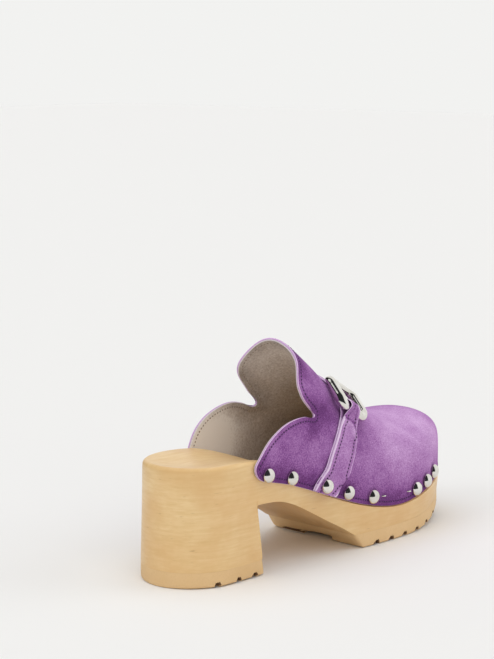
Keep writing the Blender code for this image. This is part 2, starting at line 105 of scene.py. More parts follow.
def keep_sharp(bm, edges):
    """Hold these edges crisp through the subdivision."""
    crease = bm.edges.layers.float.get("crease_edge")
    for edge in edges:
        edge[crease] = 1
        edge.smooth = False


def make_piece(name, bm, *materials):
    """The finished mesh as an object at the origin, with smooth shading."""
    for face in bm.faces:
        face.smooth = True
    mesh = bpy.data.meshes.new(name)
    bm.to_mesh(mesh)
    bm.free()
    for material in materials:
        mesh.materials.append(material)
    piece = bpy.data.objects.new(name, mesh)
    bpy.context.scene.collection.objects.link(piece)
    return piece


def subdivide(piece, levels):
    """Live subdivision, the same in the view and in the render."""
    surface = piece.modifiers.new("smooth form", "SUBSURF")
    surface.levels = levels
    surface.render_levels = levels


def colour(red, green, blue):
    """A colour read on a screen, from 0 to 255, as the shader takes it."""
    parts = [part / 255 for part in (red, green, blue)]
    return [p / 12.92 if p < 0.04045 else ((p + 0.055) / 1.055) ** 2.4 for p in parts] + [1]


def add_node(tree, kind, values=None, **settings):
    """A shader node with its settings made and its inputs set or linked."""
    made = tree.nodes.new("ShaderNode" + kind)
    for key, value in settings.items():
        setattr(made, key, value)
    for key, value in (values or {}).items():
        if isinstance(value, bpy.types.NodeSocket):
            tree.links.new(value, made.inputs[key])
        else:
            made.inputs[key].default_value = value
    return made


def add_ramp(tree, factor, *stops):
    """A colour ramp through (place, colour) stops."""
    ramp = add_node(tree, "ValToRGB", {"Fac": factor})
    elements = ramp.color_ramp.elements
    while len(elements) < len(stops):
        elements.new(1)
    for element, (place, shade) in zip(elements, stops):
        element.position = place
        element.color = shade
    return ramp.outputs["Color"]


def add_math(tree, operation, first, second):
    """One sum on two values or sockets."""
    return add_node(tree, "Math", {0: first, 1: second}, operation=operation).outputs[0]


def add_mix(tree, factor, first, second):
    """Two colours mixed by a factor; a mix node's colour sockets stand after those for other kinds."""
    return add_node(tree, "Mix", {0: factor, 6: first, 7: second}, data_type="RGBA").outputs[2]


def new_material(name):
    """A material's node tree and its Principled shader."""
    material = bpy.data.materials.new(name)
    material.use_nodes = True
    return material, material.node_tree, material.node_tree.nodes["Principled BSDF"]


def noise(tree, vector, scale, detail, roughness=0.5):
    """Noise on the given coordinates."""
    values = {"Vector": vector, "Scale": scale, "Detail": detail, "Roughness": roughness}
    return add_node(tree, "TexNoise", values).outputs["Fac"]


def add_bump(tree, height, strength, distance):
    """A bump's normal."""
    values = {"Height": height, "Strength": strength, "Distance": distance}
    return add_node(tree, "Bump", values).outputs["Normal"]


def make_wood():
    """Fine pale streaks along the shoe's length with soft bands and clouds, and a few short pores."""
    material, tree, shader = new_material("lacquered wood")
    place = add_node(tree, "TexCoord").outputs["Object"]
    normal = add_node(tree, "NewGeometry").outputs["Normal"]
    facing = add_node(tree, "SeparateXYZ", {0: normal}).outputs["Z"]
    upward = add_math(tree, "ABSOLUTE", facing, 0)

    def streaks(side_scale, top_scale, detail):
        """Noise drawn out along the shoe, level on the sides and on the top."""
        side = add_node(tree, "Mapping", {"Vector": place, "Scale": side_scale}).outputs[0]
        top = add_node(tree, "Mapping", {"Vector": place, "Scale": top_scale}).outputs[0]
        return add_mix(tree, upward, noise(tree, side, 1, detail, 0.6), noise(tree, top, 1, detail, 0.6))

    bands = streaks((5, 8, 40), (5, 32, 8), 3)
    grain = streaks((50, 90, 600), (50, 460, 90), 4)
    pores = streaks((75, 160, 1100), (75, 900, 160), 2)
    patches = noise(tree, place, 27, 4, 0.6)
    lines = add_mix(tree, 0.7, bands, grain)
    tone = add_ramp(
        tree,
        lines,
        (0.32, colour(224, 186, 128)),
        (0.5, colour(232, 197, 141)),
        (0.68, colour(239, 207, 155)),
    )
    warmth = add_ramp(tree, patches, (0.4, (0, 0, 0, 1)), (0.66, (0.7, 0.7, 0.7, 1)))
    warm = add_mix(tree, warmth, tone, colour(222, 177, 117))
    marks = add_ramp(tree, pores, (0.68, (0, 0, 0, 1)), (0.76, (0.4, 0.4, 0.4, 1)))
    marked = add_mix(tree, marks, warm, colour(160, 112, 62))
    # Painted shade: faces that point down get a darker brown, and the same mask leaves them rougher and
    # without lacquer.
    downward = add_math(tree, "MULTIPLY", facing, -1)
    below = add_ramp(tree, downward, (0.8, (0, 0, 0, 1)), (0.97, (1, 1, 1, 1)))
    tree.links.new(add_mix(tree, below, marked, colour(190, 143, 88)), shader.inputs["Base Color"])
    gloss = add_ramp(tree, lines, (0.3, (0.46, 0.46, 0.46, 1)), (0.7, (0.34, 0.34, 0.34, 1)))
    tree.links.new(add_mix(tree, below, gloss, (0.85, 0.85, 0.85, 1)), shader.inputs["Roughness"])
    tree.links.new(add_bump(tree, grain, 0.12, 0.1 * MM), shader.inputs["Normal"])
    lacquer = add_ramp(tree, below, (0, (0.15, 0.15, 0.15, 1)), (1, (0, 0, 0, 1)))
    tree.links.new(lacquer, shader.inputs["Coat Weight"])
    shader.inputs["Coat Roughness"].default_value = 0.25
    return material


wood_bm = merged_copy("wood_sole")
rubber_near = [node_tree(node) for node in ("heel_lift", "forefoot_tread")]


def at_rubber(edge):
    """Whether a wood edge lies on the rubber."""
    return all(any(near.find_nearest(v.co, SEAM_REACH)[0] for near in rubber_near) for v in edge.verts)


keep_sharp(wood_bm, [edge for edge in sharp_edges(wood_bm, SEAM_ANGLE) if at_rubber(edge)])
round_edges(wood_bm, [edge for edge in sharp_edges(wood_bm) if edge.smooth], WOOD_EDGE, 2)
wood = make_piece("wooden_sole", wood_bm, make_wood())
subdivide(wood, 2)
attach(wood, "root")
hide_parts("wood_sole")

# Rubber top piece under the heel and rubber tread under the forefoot, cut from honey-coloured sheet.
# Both are glued to the wood and trimmed flush with it. Cross grooves are moulded in their undersides,
# and their walls are darkened with painted shade.
RUBBER_EDGE = 0.3 * MM
GLUE_LINE = 0.04 * MM
GROOVE_INSIDE = 0.4 * MM
GROOVE_WALL = 0.5


def hull_tree(bm):
    """A search tree over the convex hull of a mesh."""
    hull_bm = bmesh.new()
    for vert in bm.verts:
        hull_bm.verts.new(vert.co)
    bmesh.ops.convex_hull(hull_bm, input=hull_bm.verts)
    tree = BVHTree.FromBMesh(hull_bm)
    hull_bm.free()
    return tree


def make_rubber(name, dark, light, speck):
    """Matt rubber, a little greyer than the wood, with moulded specks."""
    material, tree, shader = new_material(name)
    place = add_node(tree, "TexCoord").outputs["Object"]
    clouds = noise(tree, place, 30, 3)
    specks = noise(tree, place, 900, 2)
    tone = add_ramp(tree, clouds, (0.3, dark), (0.7, light))
    dirt = add_ramp(tree, specks, (0.3, (0.12, 0.12, 0.12, 1)), (0.5, (0, 0, 0, 1)))
    tree.links.new(add_mix(tree, dirt, tone, speck), shader.inputs["Base Color"])
    dull = add_math(tree, "ADD", add_math(tree, "MULTIPLY", clouds, 0.2), 0.5)
    tree.links.new(dull, shader.inputs["Roughness"])
    tree.links.new(add_bump(tree, specks, 0.2, 0.1 * MM), shader.inputs["Normal"])
    return material


honey_rubber = make_rubber(
    "honey rubber",
    dark=colour(221, 184, 131),
    light=colour(232, 197, 147),
    speck=colour(196, 154, 106),
)
# Darker rubber that stands for painted shade in the grooves.
groove_shade_rubber = make_rubber(
    "rubber with painted groove shade",
    dark=colour(96, 64, 37),
    light=colour(118, 82, 50),
    speck=colour(80, 52, 30),
)
wood_near = node_tree("wood_sole")
for rubber_node, rubber_name in (("heel_lift", "heel_top_piece"), ("forefoot_tread", "tread_sheet")):
    rubber_bm = merged_copy(rubber_node)
    glued = set()
    for vert in rubber_bm.verts:
        spot = wood_near.find_nearest(vert.co, SEAM_REACH)[0]
        if spot is not None:
            glued.add(vert)
            vert.co += (spot - vert.co) * (1 - GLUE_LINE / max((spot - vert.co).length, GLUE_LINE))
    hull_near = hull_tree(rubber_bm)
    # Faces on the groove walls take the darker rubber: painted shade in the grooves.
    for face in rubber_bm.faces:
        inside = hull_near.find_nearest(face.calc_center_median())[3] > GROOVE_INSIDE
        wall = abs(face.normal.x) > GROOVE_WALL and glued.isdisjoint(face.verts)
        face.material_index = int(inside and wall)
    keep_sharp(rubber_bm, [edge for edge in sharp_edges(rubber_bm) if glued.issuperset(edge.verts)])
    round_edges(rubber_bm, [edge for edge in sharp_edges(rubber_bm) if edge.smooth], RUBBER_EDGE, 1)
    rubber = make_piece(rubber_name, rubber_bm, honey_rubber, groove_shade_rubber)
    subdivide(rubber, 2)
    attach(rubber, "root")
    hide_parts(rubber_node)

# Upper: one vamp of purple suede, glued over a taupe lining and lasted over the edge of the wood.
# The cut edges of the two layers show along the lobed collar.
CUT_EDGE = 0.4 * MM
PATCH_ANGLE = math.radians(48)
SUEDE, LINING, CUT = range(3)
STUD_NODES = [f"stud_{side}_{number}" for side in ("lateral", "medial") for number in range(1, 9)]
PUCKER_DEPTH = 0.7 * MM
PUCKER_REACH = 9 * MM
STITCH_INSET = 2.6 * MM
LINING_DEPTH = 1.6 * MM
NOTCH_SIDE = 10 * MM
NOTCH_LOW = 66 * MM
NOTCH_HIGH = 112 * MM

# Troughs (below zero) and ridges by the collar's notches: points from the notch in millimetres, with
# the inner side of the foot as plus on the inner notch, then height and half width
NOTCH_FOLDS = (
    (((-3, 0, 1), (7, 1, -1), (17, 2, -4)), -1.9, 7),
    (((-9, 2, -9), (2, 3, -12), (7, 6, -22)), 1.0, 9),
    (((-2, -3, 12), (9, -4, 9)), 0.7, 9),
)

# Brushed nap together with painted light and shade: lighter lilac and darker spots on the outside, and
# painted
# light on the lining: place and reach in millimetres, then amount
VAMP_NAP_AND_LIGHT = (
    ((72, -8, 74), 66, 0.4),
    ((100, -34, 54), 46, 0.26),
    ((42, -38, 62), 32, 0.24),
    ((14, -39, 58), 16, 0.1),
    ((-56, -35, 64), 18, -0.1),
    ((-30, -37, 58), 16, -0.1),
    ((-12, -33, 90), 13, -0.14),
)
# Painted light: pale pools on the lining inside the collar.
LINING_PAINTED_LIGHT = (((-54, 30, 62), 38, 1.3), ((-28, 30, 74), 26, 0.25), ((-16, 11, 117), 34, 0.12))
BLOOM_BASE = 0.36
# Painted shade darkens the suede within reach of the lasting edge.
LASTING_TOP = 66 * MM
LASTING_FRONT = -30 * MM
LASTING_SHADE = 0.31
LASTING_REACH = 16 * MM


def face_patches(bm):
    """Areas of faces that the sharp edges part, each with its faces, the largest first."""
    patches = []
    found = set()
    for seed in bm.faces:
        if seed in found:
            continue
        found.add(seed)
        patch = [seed]
        for face in patch:
            for edge in face.edges:
                if edge.calc_face_angle(0) < PATCH_ANGLE:
                    fresh = [other for other in edge.link_faces if other not in found]
                    found.update(fresh)
                    patch.extend(fresh)
        patches.append((sum(face.calc_area() for face in patch), patch))
    return sorted(patches, key=lambda entry: entry[0], reverse=True)


def kind_edges(bm):
    """Edges where two kinds of face meet."""
    return [edge for edge in bm.edges if len({face.material_index for face in edge.link_faces}) > 1]


def smooth_form(bm, levels):
    """The mesh after subdivision, as a new mesh to work on."""
    piece = make_piece("form", bm)
    subdivide(piece, levels)
    shape = bpy.data.meshes.new_from_object(piece.evaluated_get(bpy.context.evaluated_depsgraph_get()))
    rough = piece.data
    bpy.data.objects.remove(piece)
    bpy.data.meshes.remove(rough)
    fine = bmesh.new()
    fine.from_mesh(shape)
    bpy.data.meshes.remove(shape)
    fine.normal_update()
    return fine


def sheet_tree(bm, kind):
    """A search tree over the faces of one kind."""
    corners = [vert.co.copy() for vert in bm.verts]
    faces = [[vert.index for vert in face.verts] for face in bm.faces if face.material_index == kind]
    return BVHTree.FromPolygons(corners, faces)


def border_points(bm):
    """Points where the suede meets the cut edge."""
    kinds = {SUEDE, CUT}
    edges = [edge for edge in bm.edges if {face.material_index for face in edge.link_faces} == kinds]
    middles = [(edge.verts[0].co + edge.verts[1].co) / 2 for edge in edges]
    return middles + [vert.co.copy() for vert in {vert for edge in edges for vert in edge.verts}]


def point_tree(points):
    """A search tree over points."""
    tree = KDTree(len(points))
    for index, point in enumerate(points):
        tree.insert(point, index)
    tree.balance()
    return tree


def lasting_height(point):
    """Height under which a point of the border is on the lasting edge and not on the collar."""
    return LASTING_TOP if point.x < LASTING_FRONT else math.inf


def swell(distance, reach):
    """A soft bump: 1 at its middle, 0 from its reach outwards."""
    share = min(distance / reach, 1)
    return (1 - share * share) ** 2


def run_distance(point, run):
    """Distance from a point to a run of points."""
    best = math.inf
    for start, end in zip(run, run[1:]):
        reach = end - start
        share = max(0, min(1, (point - start).dot(reach) / reach.length_squared))
        best = min(best, (point - start - reach * share).length)
    return best


upper_bm = merged_copy("upper")
for rank, (_, patch) in enumerate(face_patches(upper_bm)):
    for face in patch:
        face.material_index = min(rank, CUT)
round_edges(upper_bm, kind_edges(upper_bm), CUT_EDGE, 2)
upper_bm = smooth_form(upper_bm, 2)
upper_bm.verts.index_update()
outer_sheet = sheet_tree(upper_bm, SUEDE)
stud_spots = [sum((Vector(c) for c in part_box(node)), Vector()) / 2 for node in STUD_NODES]
border = [vert.co for vert in upper_bm.verts if len({face.material_index for face in vert.link_faces}) > 1]
folds = []
for side in (-1, 1):
    notch = max(
        (point for point in border if point.y * side > NOTCH_SIDE and NOTCH_LOW < point.z < NOTCH_HIGH),
        key=lambda point: point.x,
    ).copy()
    for run, height, reach in NOTCH_FOLDS:
        points = [notch + Vector((x, y * side, z)) * MM for x, y, z in run]
        folds.append((points, height * MM, reach * MM))
for vert in upper_bm.verts:
    outward = outer_sheet.find_nearest(vert.co)[1]
    lift = sum(height * swell(run_distance(vert.co, run), reach) for run, height, reach in folds)
    lift -= PUCKER_DEPTH * max(swell((vert.co - spot).length, PUCKER_REACH) for spot in stud_spots)
    vert.co += outward * lift
upper_bm.normal_update()
outer_sheet = sheet_tree(upper_bm, SUEDE)
suede_border = border_points(upper_bm)
border_near = point_tree(suede_border)
lasting_near = point_tree([point for point in suede_border if point.z < lasting_height(point)])
edge_layer = upper_bm.verts.layers.float.new("edge distance")
depth_layer = upper_bm.verts.layers.float.new("wall depth")
nap_light_layer = upper_bm.verts.layers.float.new("nap_and_light")
# Per-vertex tone: brushed nap with painted light and shade, and painted shade near the lasting edge.
for vert in upper_bm.verts:
    vert[edge_layer] = border_near.find(vert.co)[2]
    vert[depth_layer] = outer_sheet.find_nearest(vert.co)[3]
    inside = vert[depth_layer] > LINING_DEPTH
    spots = LINING_PAINTED_LIGHT if inside else VAMP_NAP_AND_LIGHT
    nap_and_light = BLOOM_BASE + sum(a * swell((vert.co - Vector(p) * MM).length, r * MM) for p, r, a in spots)
    vert[nap_light_layer] = nap_and_light - LASTING_SHADE * swell(lasting_near.find(vert.co)[2], LASTING_REACH)


def make_nap():
    """Brushed nap: soft clouds where the pile lies over, and fine fibres."""
    group = bpy.data.node_groups.new("brushed nap", "ShaderNodeTree")
    group.interface.new_socket("Vector", in_out="INPUT", socket_type="NodeSocketVector")
    for name in ("Cloud Scale", "Fibre Scale"):
        group.interface.new_socket(name, in_out="INPUT", socket_type="NodeSocketFloat")
    for name in ("Clouds", "Fibres", "Height"):
        group.interface.new_socket(name, in_out="OUTPUT", socket_type="NodeSocketFloat")
    given = group.nodes.new("NodeGroupInput").outputs
    clouds = noise(group, given["Vector"], given["Cloud Scale"], 4, 0.6)
    fibres = noise(group, given["Vector"], given["Fibre Scale"], 4, 0.65)
    result = group.nodes.new("NodeGroupOutput").inputs
    group.links.new(clouds, result["Clouds"])
    group.links.new(fibres, result["Fibres"])
    height = add_math(group, "ADD", fibres, add_math(group, "MULTIPLY", clouds, 0.5))
    group.links.new(height, result["Height"])
    return group


nap_group = make_nap()


def add_nap(tree, cloud_scale, fibre_scale):
    """The nap group in a material, on the piece's own coordinates."""
    placed = tree.nodes.new("ShaderNodeGroup")
    placed.node_tree = nap_group
    tree.links.new(add_node(tree, "TexCoord").outputs["Object"], placed.inputs["Vector"])
    placed.inputs["Cloud Scale"].default_value = cloud_scale
    placed.inputs["Fibre Scale"].default_value = fibre_scale
    return placed.outputs


def make_suede():
    """Purple suede: nap clouds dark and lilac, a per-vertex tone of brushed nap with painted light and
    shade, and sunk seams whose colour is darkened with painted shade.
    """
    material, tree, shader = new_material("purple suede")
    nap = add_nap(tree, 55, 1250)
    nap_and_light = add_node(tree, "Attribute", attribute_name="nap_and_light").outputs["Fac"]
    edge = add_node(tree, "Attribute", attribute_name="edge distance").outputs["Fac"]
    lie = add_math(tree, "MULTIPLY", add_math(tree, "SUBTRACT", nap["Clouds"], 0.5), 0.7)
    pile = add_math(tree, "MULTIPLY", add_math(tree, "SUBTRACT", nap["Fibres"], 0.5), 1.25)
    shade = add_math(tree, "ADD", add_math(tree, "ADD", lie, pile), nap_and_light)
    tone = add_ramp(
        tree,
        shade,
        (0.0, colour(104, 56, 114)),
        (0.3, colour(146, 92, 156)),
        (0.62, colour(184, 136, 192)),
        (1.0, colour(218, 180, 224)),
    )
    from_seam = add_math(tree, "ABSOLUTE", add_math(tree, "SUBTRACT", edge, STITCH_INSET), 0)
    groove = add_ramp(
        tree,
        add_math(tree, "DIVIDE", from_seam, 2 * MM),
        (0.1, (1, 1, 1, 1)),
        (0.55, (0, 0, 0, 1)),
    )
    # Painted shade: the colour darkens in the sunk seam groove.
    sunk = add_math(tree, "MULTIPLY", groove, 0.3)
    tree.links.new(add_mix(tree, sunk, tone, colour(100, 50, 114)), shader.inputs["Base Color"])
    height = add_math(tree, "SUBTRACT", add_math(tree, "MULTIPLY", nap["Height"], 0.45), groove)
    tree.links.new(add_bump(tree, height, 0.5, 0.4 * MM), shader.inputs["Normal"])
    shader.inputs["Roughness"].default_value = 0.95
    shader.inputs["Specular IOR Level"].default_value = 0.1
    shader.inputs["Sheen Weight"].default_value = 0.3
    shader.inputs["Sheen Roughness"].default_value = 0.4
    shader.inputs["Sheen Tint"].default_value = colour(224, 170, 234)
    return material


def make_lining():
    """Taupe microfibre lining with a short nap, made pale inside the collar with painted light."""
    material, tree, shader = new_material("taupe lining")
    nap = add_nap(tree, 38, 760)
    nap_and_light = add_node(tree, "Attribute", attribute_name="nap_and_light").outputs["Fac"]
    lie = add_math(tree, "MULTIPLY", add_math(tree, "SUBTRACT", nap["Clouds"], 0.5), 0.5)
    pile = add_math(tree, "MULTIPLY", add_math(tree, "SUBTRACT", nap["Fibres"], 0.5), 1.2)
    shade = add_math(tree, "ADD", add_math(tree, "ADD", lie, pile), nap_and_light)
    tone = add_ramp(
        tree,
        shade,
        (0.0, colour(162, 150, 142)),
        (0.4, colour(204, 194, 187)),
        (1.0, colour(250, 246, 242)),
    )
    tree.links.new(tone, shader.inputs["Base Color"])
    tree.links.new(add_bump(tree, nap["Height"], 0.35, 0.25 * MM), shader.inputs["Normal"])
    shader.inputs["Roughness"].default_value = 0.95
    shader.inputs["Specular IOR Level"].default_value = 0.1
    shader.inputs["Sheen Weight"].default_value = 0.25
    return material


def make_cut_edge():
    """Raw edge of the wall: lilac suede outside, a thin glue line, and the pale grey lining inside."""
    material, tree, shader = new_material("raw edge of suede and lining")
    nap = add_nap(tree, 60, 1100)
    depth = add_node(tree, "Attribute", attribute_name="wall depth").outputs["Fac"]
    layers = add_ramp(
        tree,
        add_math(tree, "DIVIDE", depth, 2.2 * MM),
        (0.0, colour(230, 204, 234)),
        (0.3, colour(200, 150, 208)),
        (0.5, colour(172, 128, 180)),
        (0.58, colour(206, 198, 200)),
    )
    fuzz = add_ramp(tree, nap["Fibres"], (0.35, (0.3, 0.3, 0.3, 1)), (0.6, (0, 0, 0, 1)))
    tree.links.new(add_mix(tree, fuzz, layers, colour(232, 220, 234)), shader.inputs["Base Color"])
    tree.links.new(add_bump(tree, nap["Height"], 0.5, 0.3 * MM), shader.inputs["Normal"])
    shader.inputs["Roughness"].default_value = 0.95
    shader.inputs["Specular IOR Level"].default_value = 0.1
    return material


suede = make_suede()
raw_edge = make_cut_edge()
upper = make_piece("suede_vamp", upper_bm, suede, make_lining(), raw_edge)
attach(upper, "root")
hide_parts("upper")

# Seams: a row of lockstitch just inside every cut edge, in dark purple thread.
# The thread sinks into the suede, and the same row shows on the lining in brown.
STITCH_PITCH = 2.3 * MM
STITCH_LENGTH = 1.55 * MM
THREAD = 1.05 * MM
THREAD_FLAT = 0.5
SINK = 0.02 * MM
LINE_BREAK = 5 * MM
LINING_INSET = 3.5 * MM


def inset_runs(piece, kind, inset):
    """Lines of points and normals on a piece's faces of one kind, the inset away from their border."""
    bm = bmesh.new()
    bm.from_mesh(piece.data)
    distance = bm.verts.layers.float["edge distance"]
    links = {}
    for face in bm.faces:
        crossed = [e for e in face.edges if (e.verts[0][distance] < inset) != (e.verts[1][distance] < inset)]
        if face.material_index == kind and len(crossed) == 2:
            links.setdefault(crossed[0], []).append(crossed[1])
            links.setdefault(crossed[1], []).append(crossed[0])
    runs = []
    while links:
        run = [min(links, key=lambda edge: (len(links[edge]), edge.index))]
        following = links.pop(run[0])
        while following:
            run.append(following[0])
            following = [edge for edge in links.pop(run[-1]) if edge in links]
        line = []
        for near, far in (edge.verts for edge in run):
            share = (inset - near[distance]) / (far[distance] - near[distance])
            line.append((near.co.lerp(far.co, share), near.normal.lerp(far.normal, share).normalized()))
        runs.append(line)
    bm.free()
    return runs


def spaced(line, pitch):
    """Places at an even pitch along a line: point, direction and normal."""
    places = []
    travelled = 0
    for (start, facing), (end, _) in zip(line, line[1:]):
        step = end - start
        if step.length > LINE_BREAK or step.length == 0:
            travelled = 0
            continue
        while travelled <= step.length:
            places.append((start + step * (travelled / step.length), step.normalized(), facing))
            travelled += pitch
        travelled -= step.length
    return places


def make_thread(name, shade):
    """Twisted thread with a slight lustre."""
    material, tree, shader = new_material(name)
    place = add_node(tree, "TexCoord").outputs["Object"]
    twist = noise(tree, place, 1500, 1)
    tone = add_ramp(tree, twist, (0.35, [part * 0.6 for part in shade[:3]] + [1]), (0.65, shade))
    tree.links.new(tone, shader.inputs["Base Color"])
    shader.inputs["Roughness"].default_value = 0.7
    return material


def sew(bm, places):
    """Add one short sunk stitch at each place."""
    for point, along, facing in places:
        side = facing.cross(along).normalized()
        turn = Matrix((along, side, facing)).transposed().to_4x4()
        size = Matrix.Diagonal((STITCH_LENGTH / THREAD, 1, THREAD_FLAT, 1))
        bmesh.ops.create_uvsphere(
            bm,
            u_segments=6,
            v_segments=4,
            radius=THREAD / 2,
            matrix=Matrix.Translation(point - facing * SINK) @ turn @ size,
        )


purple_thread = make_thread("dark purple thread", colour(66, 26, 80))
seam_bm = bmesh.new()
for line in inset_runs(upper, SUEDE, STITCH_INSET):
    sew(seam_bm, spaced(line, STITCH_PITCH))
vamp_seam = make_piece("vamp_stitches", seam_bm, purple_thread)
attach(vamp_seam, "root")

lining_bm = bmesh.new()
for line in inset_runs(upper, LINING, LINING_INSET):
    sew(lining_bm, spaced(line, STITCH_PITCH))
lining_seam = make_piece("lining_stitches", lining_bm, make_thread("brown thread", colour(172, 156, 144)))
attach(lining_seam, "root")

# Instep straps: purple suede bands, the outer one doubled and folded round the buckle's bar.
# Each is caught at the sole edge by a stud and sewn along both edges.
STRAP_EDGE = 0.25 * MM
STRAP_SIDE = 250 * MM * MM
STRAP_END = -0.6
STRAP_BLOOM = 0.55
STRAP_CLEAR = 2.2 * MM
STRAP_OUTSIDE = 0.5

# Soft ridge across the outer strap, where its fold ends: points in millimetres. A painted highlight lies
# on the ridge and painted sheen on the front edge, with painted shade in the crease above the ridge
FOLD_RIDGE = ((-4, -37.4, 82.6), (0, -37.3, 81), (3.2, -37.7, 78), (4.6, -38.5, 74.6), (4.6, -39.7, 71))
FOLD_HEIGHT = 1.1 * MM
FOLD_REACH = 3.2 * MM
FOLD_HIGHLIGHT = 0.3
CREASE_SHIFT = Vector((1.2, 0, 2.2)) * MM
CREASE_REACH = 1.9 * MM
CREASE_SHADE = 0.42
OUTER_LAYER = 2.8 * MM
RIM_FACING = 0.22
RIM_SHEEN = 0.7
RIM_REACH = 1.1 * MM
fold_run = [Vector(point) * MM for point in FOLD_RIDGE]
crease_run = [point + CREASE_SHIFT for point in fold_run[:-1]]
buckle_near = node_tree("buckle_frame")
for strap_node, strap_name in (("strap_lateral", "outer_strap"), ("strap_medial", "inner_strap")):
    strap_bm = merged_copy(strap_node)
    for area, patch in face_patches(strap_bm):
        for face in patch:
            face.material_index = SUEDE if area > STRAP_SIDE or face.normal.z < STRAP_END else CUT
    round_edges(strap_bm, kind_edges(strap_bm), STRAP_EDGE, 1)
    strap_bm = smooth_form(strap_bm, 2)
    strap_bm.verts.index_update()
    for vert in strap_bm.verts:
        _, outward, _, gap = outer_sheet.find_nearest(vert.co)
        if gap > OUTER_LAYER and vert.normal.dot(outward) > STRAP_OUTSIDE:
            vert.co += outward * FOLD_HEIGHT * swell(run_distance(vert.co, fold_run), FOLD_REACH)
    strap_bm.normal_update()
    strap_border_near = point_tree(border_points(strap_bm))
    edge_layer = strap_bm.verts.layers.float.new("edge distance")
    nap_light_layer = strap_bm.verts.layers.float.new("nap_and_light")
    # Strap tone: painted highlight on the fold ridge and painted shade in the crease above it.
    for vert in strap_bm.verts:
        edge_point, _, vert[edge_layer] = strap_border_near.find(vert.co)
        nap_and_light = STRAP_BLOOM + FOLD_HIGHLIGHT * swell(run_distance(vert.co, fold_run), FOLD_REACH)
        nap_and_light -= CREASE_SHADE * swell(run_distance(vert.co, crease_run), CREASE_REACH)
        # Painted sheen along the front rim and on edges that face forward.
        if edge_point.x > vert.co.x or vert.normal.x > RIM_FACING:
            nap_and_light += RIM_SHEEN * swell(vert[edge_layer], RIM_REACH)
        vert[nap_light_layer] = nap_and_light
    strap = make_piece(strap_name, strap_bm, suede, suede, raw_edge)
    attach(strap, "root")
    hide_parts(strap_node)
    strap_seam_bm = bmesh.new()
    for line in inset_runs(strap, SUEDE, STITCH_INSET):
        shown = []
        for point, facing in line:
            outside = facing.dot(outer_sheet.find_nearest(point)[1]) > STRAP_OUTSIDE
            if outside and buckle_near.find_nearest(point)[3] > STRAP_CLEAR:
                shown.append((point, facing))
        sew(strap_seam_bm, spaced(shown, STITCH_PITCH))
    strap_seam = make_piece(strap_name + "_stitches", strap_seam_bm, purple_thread)
    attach(strap_seam, "root")

# Buckle frame: one cast bar bent to a rounded rectangle, nickel plated and polished.
# It lies on the outer instep with the doubled strap round its lower bar.
BAR_LENGTH = 6 * MM
BAR_CUTS = 5
HOLD_ROUNDS = 4


def make_nickel():
    """Polished nickel with faint handling marks."""
    material, tree, shader = new_material("polished nickel")
    place = add_node(tree, "TexCoord").outputs["Object"]
    smears = noise(tree, place, 120, 3)
    scratches = noise(tree, place, 1400, 2)
    tone = add_ramp(tree, smears, (0.3, colour(214, 211, 204)), (0.7, colour(236, 234, 229)))
    tree.links.new(tone, shader.inputs["Base Color"])
    polish = add_math(tree, "ADD", add_math(tree, "MULTIPLY", smears, 0.1), 0.05)
    tree.links.new(polish, shader.inputs["Roughness"])
    tree.links.new(add_bump(tree, scratches, 0.04, 0.05 * MM), shader.inputs["Normal"])
    shader.inputs["Metallic"].default_value = 1
    return material


def hold_form(bm):
    """Move the corners of a quad mesh out, so that its subdivided surface passes where they were."""
    wanted = {vert: vert.co.copy() for vert in bm.verts}
    for _ in range(HOLD_ROUNDS):
        moves = {}
        for vert in bm.verts:
            count = len(vert.link_edges)
            near = sum((edge.other_vert(vert).co for edge in vert.link_edges), Vector())
            corners = {corner for face in vert.link_faces for corner in face.verts}
            corners -= {vert, *(edge.other_vert(vert) for edge in vert.link_edges)}
            far = sum((corner.co for corner in corners), Vector())
            moves[vert] = wanted[vert] - (vert.co * count**2 + near * 4 + far) / (count * (count + 5))
        for vert, move in moves.items():
            vert.co += move


nickel = make_nickel()
buckle_bm = merged_copy("buckle_frame")
bars = [edge for edge in buckle_bm.edges if edge.calc_length() > BAR_LENGTH]
bmesh.ops.subdivide_edges(buckle_bm, edges=bars, cuts=BAR_CUTS, use_grid_fill=True)
hold_form(buckle_bm)
buckle = make_piece("buckle_bar", buckle_bm, nickel)
subdivide(buckle, 2)
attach(buckle, "root")
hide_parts("buckle_frame")

# Studs: nails with domed heads, stamped from sheet and nickel plated like the buckle.
# They are driven through the lasting edge into the wood and pull the suede in round them.
STUD_EDGE = 0.3 * MM
for stud_node in STUD_NODES:
    stud_bm = merged_copy(stud_node)
    round_edges(stud_bm, sharp_edges(stud_bm), STUD_EDGE, 2)
    stud = make_piece(stud_node.replace("stud", "nail_dome"), stud_bm, nickel)
    subdivide(stud, 2)
    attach(stud, "root")
    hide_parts(stud_node)

# Staples: short bright wires that hold the suede down between the front studs.
# Each is shot through the lasting edge into the wood, and its back shows as a small arch.
STAPLE_WIRE = 0.45 * MM
STAPLE_RADIUS = 1.9 * MM
STAPLE_SINK = 0.9 * MM
STAPLE_DROP = 0.6 * MM
STAPLE_PLACES = ((5, 0.23), (5, 0.82), (6, 0.4))


def stud_middle(side, number):
    """Middle of a stud's box."""
    low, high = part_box(f"stud_{side}_{number}")
    return (Vector(low) + Vector(high)) / 2


